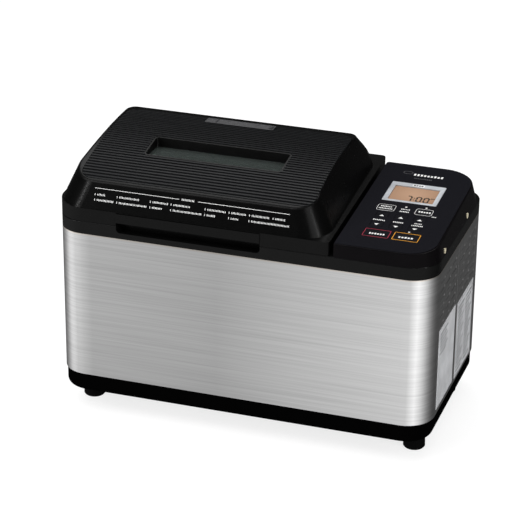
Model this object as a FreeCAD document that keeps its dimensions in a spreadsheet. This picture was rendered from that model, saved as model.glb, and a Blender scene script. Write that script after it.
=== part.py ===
"""Bread machine: a horizontal two-blade loaf maker, as an assembly of separate pieces.

Millimetres, +Z up, +X to the user's right, and the front faces -Y.
The origin is the centre of the footprint, on the surface that the feet stand on.
"""
import FreeCAD
import Part
import math
import os
import Sketcher
from FreeCAD import Placement, Rotation, Vector

# Driving dimensions, in millimetres unless the name says otherwise.
DIMENSIONS = {
    # outside
    "width": 457, "front": -133.5, "back": 116.5, "rear_limit": 135, "corner": 34,
    "base_bottom": 27, "base_inset": 1.5, "wrap_bottom": 51, "wrap_top": 234,
    "collar_top": 249.5, "lid_bottom": 250, "top_height": 325.4, "deck_front": 266.3, "deck_slope_deg": 3.7,
    "sheet": 1.2, "wall": 2.5, "seam": -12, "foot_x": 202, "foot_front": -83.5, "foot_back": 66.5,
    # finger recess under the lid's lip
    "recess_left": -150, "recess_right": 25, "recess_floor": 241, "recess_back": -120, "lip_front": -135,
    "lip_bottom": 254,
    # oven and chassis
    "oven_x": -60, "oven_y": -12, "oven_half_x": 130, "oven_half_y": 80, "oven_floor": 80, "oven_top": 247,
    "chassis_bottom": 62, "chassis_sheet": 2,
    # drive
    "shaft_offset": 57, "shaft_radius": 4, "running_gap": 0.05, "pulley_radius": 40, "flange_radius": 43.5,
    "belt_gap": 0.3, "belt_thickness": 1.6, "motor_x": 150, "motor_radius": 38, "motor_pulley_radius": 8,
    # pan
    "pan_bottom": 101, "pan_top": 228, "pan_half_x": 115.5, "pan_half_y": 64.5, "pan_draft": 6, "pan_wall": 1.5,
    "bail_height": 222, "bail_reach": 72, "bail_half_x": 124, "bail_radius": 2,
    # lid
    "lid_right": 106.5, "lid_back": 108, "hinge_y": 121, "hinge_z": 259, "pin_radius": 3,
    "dome_left": -228.3, "dome_right": 104, "dome_base": 264.5, "dome_high": 327, "dome_crown_y": 30.2,
    "dome_high_left": -207.8, "dome_high_right": 84.9, "dome_high_front": -112.4, "dome_high_back": 85.1,
    "dome_splay_left": 6.1, "dome_splay_right": 13.8,
    "crown_radius": 437, "dome_back_top": 60.2, "panel_half_x": 142, "panel_front": -118, "panel_back": 50,
    "panel_corner": 15, "rib_pitch": 4.9, "rib_height": 1.3,
    "window_left": -140, "window_right": 26, "window_front": -63, "window_back": -24, "glass_top": 309.5,
    # control end
    "housing_left": 111, "film": 0.6, "key_gap": 0.35, "key_depth": 3,
}

doc = FreeCAD.newDocument("BreadMachine")


class Size:
    """A length that carries its value together with the sheet expression that it comes from."""

    def __init__(self, value, text):
        self.value = value
        self.text = text

    def __add__(self, other):
        other = as_size(other)
        return Size(self.value + other.value, f"({self.text} + {other.text})")

    def __sub__(self, other):
        other = as_size(other)
        return Size(self.value - other.value, f"({self.text} - {other.text})")

    def __mul__(self, factor):
        factor = as_size(factor)
        return Size(self.value * factor.value, f"({self.text} * {factor.text})")

    def __truediv__(self, divisor):
        return Size(self.value / divisor, f"({self.text} / {divisor})")

    def __neg__(self):
        return Size(-self.value, f"(0 - {self.text})")


def as_size(number):
    """Return a Size as it is, and a plain number as a Size with no sheet cell behind it."""
    if isinstance(number, Size):
        return number
    return Size(float(number), f"({float(number)})")


def make_sheet():
    """Write the driving dimensions to a spreadsheet, and return them as Sizes by name."""
    sheet = doc.addObject("Spreadsheet::Sheet", "Sizes")
    lengths = {}
    for row, (alias, value) in enumerate(DIMENSIONS.items(), start=1):
        sheet.set(f"A{row}", alias)
        sheet.set(f"B{row}", str(value))
        sheet.setAlias(f"B{row}", alias)
        lengths[alias] = Size(float(value), f"Sizes.{alias}")
    doc.recompute()
    return lengths


D = make_sheet()
NODES = []


# Small tools that every piece is made with.

def bind(obj, prop, size):
    """Bind one property of a document object to the sheet."""
    obj.setExpression(prop, as_size(size).text)


def place(obj, x=0, y=0, z=0):
    """Bind the base of an object's placement."""
    for axis, size in (("x", x), ("y", y), ("z", z)):
        bind(obj, "Placement.Base." + axis, size)


def box(name, x, y, z):
    """Rectangular block; x, y and z are (low, high) pairs."""
    obj = doc.addObject("Part::Box", name)
    for prop, (low, high) in (("Length", x), ("Width", y), ("Height", z)):
        bind(obj, prop, as_size(high) - low)
    place(obj, x[0], y[0], z[0])
    return obj


def cylinder(name, radius, length, start, along="z"):
    """Round bar from its start point, along +x, +y or +z."""
    obj = doc.addObject("Part::Cylinder", name)
    turns = {"x": Rotation(Vector(0, 1, 0), 90), "y": Rotation(Vector(1, 0, 0), -90), "z": Rotation()}
    obj.Placement = Placement(Vector(), turns[along])
    bind(obj, "Radius", radius)
    bind(obj, "Height", length)
    place(obj, *start)
    return obj


def rounded_outline(name, x, y, z, radii):
    """Sketch of a rounded rectangle at height z; radii go front left, front right, back right, back left."""
    sketch = doc.addObject("Sketcher::SketchObject", name)
    low_x, high_x, low_y, high_y = (as_size(size) for size in (*x, *y))
    corners = [as_size(radius) for radius in radii]
    fl, fr, br, bl = (corner.value for corner in corners)
    left, right, front, back = low_x.value, high_x.value, low_y.value, high_y.value

    def line(x1, y1, x2, y2):
        return Part.LineSegment(Vector(x1, y1, 0), Vector(x2, y2, 0))

    def arc(cx, cy, radius, start_deg):
        circle = Part.Circle(Vector(cx, cy, 0), Vector(0, 0, 1), radius)
        return Part.ArcOfCircle(circle, math.radians(start_deg), math.radians(start_deg + 90))

    sketch.addGeometry([
        line(left + fl, front, right - fr, front), arc(right - fr, front + fr, fr, -90),
        line(right, front + fr, right, back - br), arc(right - br, back - br, br, 0),
        line(right - br, back, left + bl, back), arc(left + bl, back - bl, bl, 90),
        line(left, back - bl, left, front + fl), arc(left + fl, front + fl, fl, 180),
    ], False)
    for index in range(8):
        sketch.addConstraint(Sketcher.Constraint("Tangent", index, 2, (index + 1) % 8, 1))
    for index, kind in ((0, "Horizontal"), (2, "Vertical"), (4, "Horizontal"), (6, "Vertical")):
        sketch.addConstraint(Sketcher.Constraint(kind, index))
    for index, kind, size in ((0, "DistanceY", low_y), (2, "DistanceX", high_x),
                              (4, "DistanceY", high_y), (6, "DistanceX", low_x)):
        datum = sketch.addConstraint(Sketcher.Constraint(kind, -1, 1, index, 1, size.value))
        bind(sketch, f"Constraints[{datum}]", size)
    for index, corner in ((1, corners[1]), (3, corners[2]), (5, corners[3]), (7, corners[0])):
        datum = sketch.addConstraint(Sketcher.Constraint("Radius", index, corner.value))
        bind(sketch, f"Constraints[{datum}]", corner)
    place(sketch, 0, 0, z)
    return sketch


def prism(name, x, y, z, radii, taper_deg=None):
    """Upright prism on a rounded rectangle; a taper leans its sides (negative narrows it upwards)."""
    obj = doc.addObject("Part::Extrusion", name)
    obj.Base = rounded_outline(name + "_outline", x, y, z[0], radii)
    obj.DirMode = "Custom"
    obj.Dir = Vector(0, 0, 1)
    obj.Solid = True
    bind(obj, "LengthFwd", as_size(z[1]) - z[0])
    if taper_deg is not None:
        bind(obj, "TaperAngle", taper_deg)
    return obj


def rounded_corners(name, corners, z, radii):
    """Sketch at height z of a four-cornered outline with its corners rounded, in rounded_outline's order."""
    points = [Vector(x, y, 0) for x, y in corners]
    arcs = []
    for index, (point, radius) in enumerate(zip(points, radii)):
        before = (points[index - 1] - point).normalize()
        after = (points[(index + 1) % 4] - point).normalize()
        half = before.getAngle(after) / 2
        inward = (before + after).normalize()
        arcs.append((point + before * (radius / math.tan(half)),
                     point + inward * (radius / math.sin(half) - radius),
                     point + after * (radius / math.tan(half))))
    sketch = doc.addObject("Sketcher::SketchObject", name)
    for index in range(4):
        start, middle, end = arcs[(index + 1) % 4]
        sketch.addGeometry([Part.LineSegment(arcs[index][2], start), Part.Arc(start, middle, end)], False)
    place(sketch, 0, 0, z)
    return sketch


def ruled(name, low, high):
    """Straight-sided solid between two outlines."""
    obj = doc.addObject("Part::Loft", name)
    obj.Sections = [low, high]
    obj.Solid = True
    obj.Ruled = True
    return obj


def loft(name, low, high):
    """Straight-sided solid between two rounded rectangles, each given as (x, y, z, radii)."""
    return ruled(name, rounded_outline(name + "_low", *low), rounded_outline(name + "_high", *high))


def side_profile(name, points, x):
    """Solid from an outline of (y, z) points, run from x[0] to x[1]."""
    low, high = as_size(x[0]), as_size(x[1])
    outline = doc.addObject("Part::Polygon", name + "_outline")
    outline.Nodes = [Vector(low.value, as_size(y).value, as_size(z).value) for y, z in points]
    outline.Close = True
    obj = doc.addObject("Part::Extrusion", name)
    obj.Base = outline
    obj.DirMode = "Custom"
    obj.Dir = Vector(1, 0, 0)
    obj.Solid = True
    bind(obj, "LengthFwd", high - low)
    return obj


def turned(name, points, x, y):
    """Body of revolution about an upright axis at (x, y); points are (radius, height) pairs."""
    body = doc.addObject("PartDesign::Body", name)
    sketch = body.newObject("Sketcher::SketchObject", name + "_profile")
    plane = next(item for item in body.Origin.OriginFeatures if item.Role == "XZ_Plane")
    sketch.AttachmentSupport = [(plane, "")]
    sketch.MapMode = "FlatFace"
    corners = [(as_size(radius), as_size(height)) for radius, height in points]
    count = len(corners)
    for index, (radius, height) in enumerate(corners):
        ahead = corners[(index + 1) % count]
        sketch.addGeometry(Part.LineSegment(Vector(radius.value, height.value, 0),
                                            Vector(ahead[0].value, ahead[1].value, 0)), False)
    for index in range(count):
        sketch.addConstraint(Sketcher.Constraint("Coincident", index, 2, (index + 1) % count, 1))
    for index, (radius, height) in enumerate(corners):
        for kind, axis, size in (("DistanceX", -2, radius), ("DistanceY", -1, height)):
            if size.value == 0:
                sketch.addConstraint(Sketcher.Constraint("PointOnObject", index, 1, axis))
            else:
                datum = sketch.addConstraint(Sketcher.Constraint(kind, -1, 1, index, 1, size.value))
                bind(sketch, f"Constraints[{datum}]", size)
    feature = body.newObject("PartDesign::Revolution", name + "_turn")
    feature.Profile = sketch
    feature.ReferenceAxis = (sketch, ["V_Axis"])
    feature.Angle = 360
    body.Tip = feature
    place(body, x, y, 0)
    return body


def fuse(name, *shapes):
    """One solid from several that meet."""
    obj = doc.addObject("Part::MultiFuse", name)
    obj.Shapes = list(shapes)
    obj.Refine = True
    return obj


def common(name, *shapes):
    """The space that all the shapes share."""
    obj = doc.addObject("Part::MultiCommon", name)
    obj.Shapes = list(shapes)
    return obj


def group(name, shapes):
    """Separate solids kept side by side in one piece."""
    obj = doc.addObject("Part::Compound", name)
    obj.Links = list(shapes)
    return obj


def cut(name, base, *tools):
    """A shape less one or more others."""
    obj = doc.addObject("Part::Cut", name)
    obj.Base = base
    obj.Tool = tools[0] if len(tools) == 1 else group(name + "_tools", tools)
    obj.Refine = True
    return obj


def fillet(name, base, radius, wanted):
    """Round the edges of base for which wanted(edge) is true."""
    doc.recompute()
    obj = doc.addObject("Part::Fillet", name)
    obj.Base = base
    obj.Edges = [(index, radius, radius) for index, edge in enumerate(base.Shape.Edges, start=1) if wanted(edge)]
    return obj


def node(name, obj):
    """Name a finished piece; it is written to its own file."""
    obj.Label = name
    NODES.append(obj)
    return obj


def flat_at(height):
    """Edge test: the edge lies in the level plane at this height."""
    level = as_size(height).value

    def wanted(edge):
        bounds = edge.BoundBox
        return abs(bounds.ZMin - level) < 0.01 and abs(bounds.ZMax - level) < 0.01

    return wanted


def drilled(name, base, centres, radius, z):
    """Upright holes through base, from z[0] to z[1], at the (x, y) centres."""
    tools = [cylinder(f"{name}_hole{index}", radius, as_size(z[1]) - z[0], (x, y, z[0]))
             for index, (x, y) in enumerate(centres)]
    return cut(name, base, *tools)


# Places that several pieces share.

HALF = D["width"] / 2
OVEN_X = (D["oven_x"] - D["oven_half_x"], D["oven_x"] + D["oven_half_x"])
OVEN_Y = (D["oven_y"] - D["oven_half_y"], D["oven_y"] + D["oven_half_y"])
CHASSIS_TOP = D["chassis_bottom"] + D["chassis_sheet"]
SHAFTS = {"left": D["oven_x"] - D["shaft_offset"], "right": D["oven_x"] + D["shaft_offset"]}
FEET = [(side * D["foot_x"].value, y) for side in (-1, 1) for y in (D["foot_front"], D["foot_back"])]
POSTS = [(x, y) for x in (-180, -60, 60, 190) for y in (-80, 60)]
SCREW_LENGTH = 20
SCREW_HEAD = 2.4


def inset_plan(margin):
    """The machine's plan outline, drawn in by a margin: x, y and corner radius."""
    x = (-HALF + margin, HALF - margin)
    y = (D["front"] + margin, D["back"] - margin)
    return x, y, D["corner"] - margin


def deck_height(y):
    """Height of the gently rising top deck at depth y."""
    slope = math.tan(math.radians(D["deck_slope_deg"].value))
    return D["deck_front"] + (as_size(y) - D["front"]) * slope


def deck_wedge(name, drop=0.0):
    """Everything under the sloping top deck, lowered by drop."""
    low_y, high_y = -150, 150
    return side_profile(name, [
        (low_y, 200), (high_y, 200), (high_y, deck_height(high_y) - drop), (low_y, deck_height(low_y) - drop),
    ], (-250, 250))


# Base and outer skin.

def make_base_tray():
    """Moulded tray with chassis posts, foot bosses and floor vents."""
    floor = D["base_bottom"] + 3
    x, y, corner = inset_plan(D["base_inset"])
    outer = prism("tray_outer", x, y, (D["base_bottom"], D["wrap_bottom"] + 7), [corner] * 4)
    rounded = fillet("tray_rounded", outer, 7, flat_at(D["base_bottom"]))
    x, y, corner = inset_plan(D["base_inset"] + 3)
    hollow = prism("tray_hollow", x, y, (floor, D["wrap_bottom"] + 8), [corner] * 4)
    posts = [cylinder(f"tray_post{index}", 5, D["chassis_bottom"] - floor + 1, (px, py, floor - 1))
             for index, (px, py) in enumerate(POSTS)]
    bosses = [cylinder(f"tray_boss{index}", 5, 11, (px, py, floor - 1)) for index, (px, py) in enumerate(FEET)]
    shell = fuse("tray_shell", cut("tray_cup", rounded, hollow), *posts, *bosses)
    post_holes = drilled("tray_tapped", shell, POSTS, 1.7, (40, 70))
    foot_holes = drilled("tray_drilled", post_holes, FEET, 1.7, (20, 50))
    vents = [box(f"tray_vent{index}", (80 + 9 * index, 84 + 9 * index), (-70, 40), (20, 35))
             for index in range(3)]
    node("base_tray", cut("base_tray", foot_holes, *vents))


def make_feet():
    """Four rubber feet with a counterbore for the screw head."""
    top = D["base_bottom"]
    profile = [(4.6, 0), (11.6, 0), (13, 1.6), (12.6, 24), (9.5, 24), (9.5, top), (2, top), (2, 16), (4.6, 16)]
    node("rubber_feet", group("rubber_feet", [turned(f"foot{index}", profile, x, y)
                                              for index, (x, y) in enumerate(FEET)]))


def make_screws():
    """Pan-head screws: heads up on the chassis posts, heads down in the feet."""
    solids = []
    places = [(x, y, CHASSIS_TOP, 1) for x, y in POSTS] + [(x, y, as_size(16), -1) for x, y in FEET]
    for index, (x, y, seat, up) in enumerate(places):
        shank_start = seat - SCREW_LENGTH if up > 0 else seat
        head_start = seat if up > 0 else seat - SCREW_HEAD
        shank = cylinder(f"screw_shank{index}", 1.6, SCREW_LENGTH, (x, y, shank_start))
        head = cylinder(f"screw_head{index}", 3.6, SCREW_HEAD, (x, y, head_start))
        solids.append(fuse(f"screw{index}", shank, head))
    node("body_screws", group("body_screws", solids))


def dimple_tools():
    """Long shallow dimples pressed into both sides, three columns on each side of the seam."""
    length, chord, depth = 15.0, 5.0, 0.8
    radius = (chord * chord / 4 + depth * depth) / (2 * depth)
    bar = Part.makeCylinder(radius, length, Vector(0, -length / 2, 0), Vector(0, 1, 0))
    ends = [Part.makeSphere(radius, Vector(0, side * length / 2, 0)) for side in (-1, 1)]
    capsule = bar.fuse(ends).removeSplitter()
    # The ends are trimmed so that a dimple stays as long as it is drawn.
    capsule = capsule.common(Part.makeBox(20, length + chord, 20, Vector(-10, -(length + chord) / 2, -10)))
    rows = [219.5 - 11 * row for row in range(6)]
    columns = [D["seam"].value + offset for offset in (-75, -47.5, -20, 20, 47.5, 75)]
    out = HALF.value + radius - depth
    copies = [capsule.translated(Vector(side * out, y, z)) for side in (-1, 1) for y in columns for z in rows]
    tools = doc.addObject("Part::Feature", "dimple_tools")
    tools.Shape = Part.makeCompound(copies)
    return tools


def make_wraps():
    """The two sheet-metal halves of the skin, which meet at a seam on each side."""
    height = (D["wrap_bottom"], D["wrap_top"])
    x, y, corner = inset_plan(0)
    outer = prism("wrap_outer", x, y, height, [corner] * 4)
    x, y, corner = inset_plan(D["sheet"])
    inner = prism("wrap_inner", x, y, (D["wrap_bottom"] - 1, D["wrap_top"] + 1), [corner] * 4)
    skin = cut("wrap_skin", outer, inner, dimple_tools())
    gap = 0.4
    ahead = box("wrap_ahead", (-HALF - 5, HALF + 5), (D["front"] - 5, D["seam"] - gap), (40, 240))
    behind = box("wrap_behind", (-HALF - 5, HALF + 5), (D["seam"] + gap, D["back"] + 5), (40, 240))
    node("front_wrap", common("front_wrap", skin, ahead))
    rear = common("rear_half", skin, behind)
    slots = [box(f"rear_slot{index}", (96 + 9 * index, 99 + 9 * index), (100, 130), (120, 170))
             for index in range(12)]
    gland_hole = cylinder("gland_hole", 8, 20, (190, 100, 74), "y")
    node("rear_wrap", cut("rear_wrap", rear, gland_hole, *slots))


def make_side_labels():
    """Two blank rating plates low on the right side."""
    plates = [((-94, -18), (57, 158)), ((-6, 72), (55, 154))]
    solids = [box(f"label{index}", (HALF, HALF + 0.3), y, z) for index, (y, z) in enumerate(plates)]
    node("side_labels", group("side_labels", solids))


def make_upper_collar():
    """Band and deck round the top, with the oven mouth, finger recess, rear ledge and hinge towers."""
    top = D["collar_top"]
    deck = top - D["wall"]
    x, y, corner = inset_plan(0)
    band_blank = prism("collar_band_blank", x, y, (D["wrap_top"], top), [corner] * 4)
    band = fillet("collar_band", band_blank, 0.9, flat_at(top))
    x, y, corner = inset_plan(D["sheet"] + 0.4)
    skirt = prism("collar_skirt", x, y, (D["wrap_top"] - 8, D["wrap_top"] + 1), [corner] * 4)
    x, y, corner = inset_plan(4)
    hollow = prism("collar_hollow", x, y, (D["wrap_top"] - 9, deck), [corner] * 4)
    frame = cut("collar_frame", fuse("collar_solid", band, skirt), hollow)
    pocket_x = (D["recess_left"] - 2.5, D["recess_right"] + 2.5)
    pocket = box("collar_pocket", pocket_x, (D["front"] + 2, D["recess_back"] + 2.5),
                 (D["recess_floor"] - 2.5, top))
    ledge = prism("collar_ledge", (-190, 70), (112, D["rear_limit"]), (236, top), [0.5, 0.5, 8, 8])
    towers = []
    for index, side in enumerate((-1, 1)):
        middle = D["oven_x"] + side * 118
        span = (middle - 7, middle + 7)
        towers.append(box(f"tower{index}", span, (D["hinge_y"] - 8, D["hinge_y"] + 8), (top - 2, D["hinge_z"])))
        towers.append(cylinder(f"tower_top{index}", 8, 14, (span[0], D["hinge_y"], D["hinge_z"]), "x"))
    body = fuse("collar_body", frame, pocket, ledge, *towers)
    mouth = prism("collar_mouth", (OVEN_X[0] - 2, OVEN_X[1] + 2), (OVEN_Y[0] - 2, OVEN_Y[1] + 2),
                  (220, 260), [16] * 4)
    wiring = prism("collar_wiring", (128, 212), (-105, 75), (240, 260), [8] * 4)
    recess = box("collar_recess", (D["recess_left"], D["recess_right"]), (D["front"] - 5, D["recess_back"]),
                 (D["recess_floor"], 262))
    rounded = fillet("collar_recess_round", recess, 5, lambda edge: flat_at(D["recess_floor"])(edge)
                     and edge.BoundBox.XLength < 0.01)
    bore = cylinder("collar_bore", D["pin_radius"], 260, (D["oven_x"] - 130, D["hinge_y"], D["hinge_z"]), "x")
    node("upper_collar", cut("upper_collar", body, mouth, wiring, rounded, bore))


def make_hinge_pins():
    """Two steel pins, held by the collar's towers, on which the lid turns."""
    starts = (D["oven_x"] - 125, D["oven_x"] + 94)
    pins = [cylinder(f"pin{index}", D["pin_radius"], 31, (x, D["hinge_y"], D["hinge_z"]), "x")
            for index, x in enumerate(starts)]
    node("hinge_pins", group("hinge_pins", pins))


def make_cord_gland():
    """Bush in the back through which a supply cord would pass."""
    flange = cylinder("gland_flange", 12, 3, (190, D["back"], 74), "y")
    neck = cylinder("gland_neck", 8, 5, (190, D["back"] - 4, 74), "y")
    nose = doc.addObject("Part::Cone", "gland_nose")
    nose.Placement = Placement(Vector(190, 0, 74), Rotation(Vector(1, 0, 0), -90))
    nose.Radius1 = 9
    nose.Radius2 = 6.5
    nose.Height = 12
    bind(nose, "Placement.Base.y", D["back"] + 2)
    bore = cylinder("gland_bore", 3.75, 40, (190, 100, 74), "y")
    node("cord_gland", cut("cord_gland", fuse("gland_body", flange, neck, nose), bore))


# Oven, chassis and drive.

def make_oven():
    """Open-topped sheet chamber with a rolled-out flange under the collar."""
    sheet = 0.8
    outer = prism("oven_outer", (OVEN_X[0] - sheet, OVEN_X[1] + sheet), (OVEN_Y[0] - sheet, OVEN_Y[1] + sheet),
                  (D["oven_floor"], D["oven_top"]), [16 + sheet] * 4)
    flange = prism("oven_flange", (OVEN_X[0] - 8, OVEN_X[1] + 8), (OVEN_Y[0] - 8, OVEN_Y[1] + 8),
                   (D["oven_top"] - sheet, D["oven_top"]), [22] * 4)
    inner = prism("oven_inner", OVEN_X, OVEN_Y, (D["oven_floor"] + sheet, D["oven_top"] + 5), [16] * 4)
    shell = cut("oven_shell", fuse("oven_body", outer, flange), inner)
    bearings = [(x, D["oven_y"]) for x in SHAFTS.values()]
    floor_holes = drilled("oven_floor_holes", shell, bearings, 10.2, (70, 90))
    entries = [cylinder(f"oven_entry{index}", radius, 20, (60, y, z), "x")
               for index, (radius, y, z) in enumerate(((3.4, -32, 95), (3.4, 8, 95), (3.2, -60, 118)))]
    node("oven_chamber", cut("oven_chamber", floor_holes, *entries))


def tube(name, points, bend, radius, height):
    """Round bar bent in a level plane through the (x, y) points, with equal bends."""
    spots = [Vector(x, y, height) for x, y in points]
    edges = []
    start = spots[0]
    for before, corner, after in zip(spots, spots[1:], spots[2:]):
        back = (before - corner).normalize()
        ahead = (after - corner).normalize()
        half_turn = (math.pi - back.getAngle(ahead)) / 2
        reach = bend * math.tan(half_turn)
        entry, leave = corner + back * reach, corner + ahead * reach
        inward = (back + ahead).normalize()
        middle = corner + inward * (bend / math.cos(half_turn) - bend)
        edges.append(Part.LineSegment(start, entry).toShape())
        edges.append(Part.Arc(entry, middle, leave).toShape())
        start = leave
    edges.append(Part.LineSegment(start, spots[-1]).toShape())
    path = Part.Wire(edges)
    ring = Part.Wire([Part.Circle(spots[0], spots[1] - spots[0], radius).toShape()])
    obj = doc.addObject("Part::Feature", name)
    obj.Shape = path.makePipeShell([ring], True, False)
    return obj


def make_heaters():
    """Tubular heater round the foot of the chamber, its two ends out through the right wall."""
    right, left = OVEN_X[1].value - 9, OVEN_X[0].value + 9
    front, back = OVEN_Y[0].value + 9, OVEN_Y[1].value - 9
    route = [(86, -32), (right, -32), (right, front), (left, front),
             (left, back), (right, back), (right, 8), (86, 8)]
    node("main_heater", tube("main_heater", route, 11, 3.25, 95))


def make_sensor():
    """Temperature probe through the chamber's right wall."""
    wall = OVEN_X[1] + 0.8
    probe = cylinder("probe", 3, 30, (57, -60, 118), "x")
    washer = cylinder("probe_washer", 8, 2, (wall, -60, 118), "x")
    node("temperature_sensor", fuse("temperature_sensor", probe, washer))


def make_chassis():
    """Steel plate that carries the chamber, the bearings and the motor, with spacers under the chamber."""
    plate = prism("chassis_blank", (-196, 205), (-96, 76), (D["chassis_bottom"], CHASSIS_TOP), [6] * 4)
    spacers = [cylinder(f"spacer{index}", 5, D["oven_floor"] - CHASSIS_TOP, (x, y, CHASSIS_TOP))
               for index, (x, y) in enumerate(((-175, -50), (-175, 26), (55, -50), (55, 26)))]
    body = fuse("chassis_body", plate, *spacers)
    screwed = drilled("chassis_screwed", body, POSTS, 1.7, (55, 70))
    borings = [(x, D["oven_y"]) for x in SHAFTS.values()] + [(D["motor_x"], D["oven_y"])]
    node("chassis_plate", drilled("chassis_plate", screwed, borings, 10.2, (55, 70)))


def make_bearings():
    """Flanged bushes that guide the two drive shafts and seal the chamber floor."""
    bore = D["shaft_radius"] + D["running_gap"]
    profile = [(bore, 58), (10, 58), (10, CHASSIS_TOP), (17, CHASSIS_TOP), (17, 67), (10, 67), (10, 83), (bore, 83)]
    node("shaft_bearings", group("shaft_bearings", [turned(f"bearing_{side}", profile, x, D["oven_y"])
                                                    for side, x in SHAFTS.items()]))


LINK_LEVEL = (48.8, 54.3)
MAIN_LEVEL = (42.2, 47.2)


def make_drive_side(side, x):
    """One pulley, drive shaft and drive coupling."""
    shaft = D["shaft_radius"]
    rim, flange = D["pulley_radius"], D["flange_radius"]
    upper = [(flange, 47.6), (flange, 48.4), (rim, 48.4), (rim, 54.7),
             (flange, 54.7), (flange, 55.5), (shaft, 55.5)]
    if side == "right":
        profile = [(shaft, 41), (flange, 41), (flange, 41.8), (rim, 41.8), (rim, 47.6)] + upper
    else:
        profile = [(shaft, 47.6)] + upper
    disc = turned(f"{side}_pulley_disc", profile, x, D["oven_y"])
    windows = []
    for index in range(6):
        angle = math.radians(60 * index)
        windows.append(cylinder(f"{side}_pulley_window{index}", 9, 30,
                                (x + 24 * math.cos(angle), D["oven_y"] + 24 * math.sin(angle), 35)))
    node(f"{side}_pulley", cut(f"{side}_pulley", disc, *windows))
    bar = [(0, 38), (3.5, 38), (shaft, 38.5), (shaft, 91.5), (3.5, 92), (0, 92)]
    node(f"{side}_drive_shaft", turned(f"{side}_drive_shaft", bar, x, D["oven_y"]))
    dish = turned(f"{side}_coupling_dish", [(shaft, 84), (17, 84), (17, 94), (8, 94), (8, 87), (shaft, 87)],
                  x, D["oven_y"])
    slot = box(f"{side}_coupling_slot", (x - 20, x + 20), (D["oven_y"] - 5, D["oven_y"] + 5), (87, 100))
    node(f"{side}_drive_coupling", cut(f"{side}_drive_coupling", dish, slot))


def belt(name, first, second, level):
    """Closed flat belt round two pulleys, each given as (x, radius), clear of both by the belt gap."""
    y = D["oven_y"].value

    def loop(offset, low, high):
        x_a, r_a = first[0], first[1] + offset
        x_b, r_b = second[0], second[1] + offset
        lean = math.asin((r_a - r_b) / (x_b - x_a))
        spots = {}
        for sign in (-1, 1):
            for key, x, radius in (("a", x_a, r_a), ("b", x_b, r_b)):
                spots[key, sign] = Vector(x + radius * math.sin(lean), y + sign * radius * math.cos(lean), low)
        wire = Part.Wire([
            Part.LineSegment(spots["a", -1], spots["b", -1]).toShape(),
            Part.Arc(spots["b", -1], Vector(x_b + r_b, y, low), spots["b", 1]).toShape(),
            Part.LineSegment(spots["b", 1], spots["a", 1]).toShape(),
            Part.Arc(spots["a", 1], Vector(x_a - r_a, y, low), spots["a", -1]).toShape(),
        ])
        return Part.Face(wire).extrude(Vector(0, 0, high - low))

    gap = D["belt_gap"].value
    obj = doc.addObject("Part::Feature", name)
    obj.Shape = loop(gap + D["belt_thickness"].value, *level).cut(loop(gap, level[0] - 1, level[1] + 1))
    return node(name, obj)


def make_belts():
    """The main belt from the motor to the right pulley, and the link belt between the two pulleys."""
    big = D["pulley_radius"].value
    right = (SHAFTS["right"].value, big)
    belt("main_belt", right, (D["motor_x"].value, D["motor_pulley_radius"].value), MAIN_LEVEL)
    belt("link_belt", (SHAFTS["left"].value, big), right, LINK_LEVEL)


def make_motor():
    """Motor on the chassis beside the chamber, its shaft down through the plate."""
    x, y = D["motor_x"], D["oven_y"]
    bore = D["shaft_radius"] + D["running_gap"]
    radius = D["motor_radius"]
    can = [(bore, CHASSIS_TOP), (radius, CHASSIS_TOP), (radius, 142), (14, 142), (14, 148),
           (bore, 148), (bore, 139), (radius - 3, 139), (radius - 3, 126), (23, 126),
           (23, 82), (radius - 3, 82), (radius - 3, 67), (bore, 67)]
    node("motor_housing", turned("motor_housing", can, x, y))
    shaft = D["shaft_radius"]
    spindle = [(0, 38), (shaft, 38), (shaft, 80), (22, 80), (22, 128), (shaft, 128), (shaft, 152), (0, 152)]
    node("motor_rotor", turned("motor_rotor", spindle, x, y))
    rim = D["motor_pulley_radius"]
    pulley = [(shaft, 41), (rim + 3, 41), (rim + 3, 41.8), (rim, 41.8), (rim, 47.6), (rim + 3, 47.6),
              (rim + 3, 48.4), (shaft, 48.4)]
    node("motor_pulley", turned("motor_pulley", pulley, x, y))
    capacitor = [(0, CHASSIS_TOP), (15, CHASSIS_TOP), (15, 112), (13, 114), (0, 114)]
    node("motor_capacitor", turned("motor_capacitor", capacitor, x, 46))


def make_power_board():
    """Supply board standing on the chassis behind the motor, with its transformer."""
    board = box("power_board_sheet", (95, 200), (66, 67.6), (CHASSIS_TOP, 168))
    relay = box("power_relay", (165, 185), (67.6, 83), (130, 148))
    node("power_board", fuse("power_board", board, relay))
    core = box("transformer_core", (105, 147), (67.6, 93), (84, 120))
    winding = box("transformer_winding", (112, 140), (70, 98), (78, 126))
    node("transformer", fuse("transformer", core, winding))


# Pan, bail and kneading blades.

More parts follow.
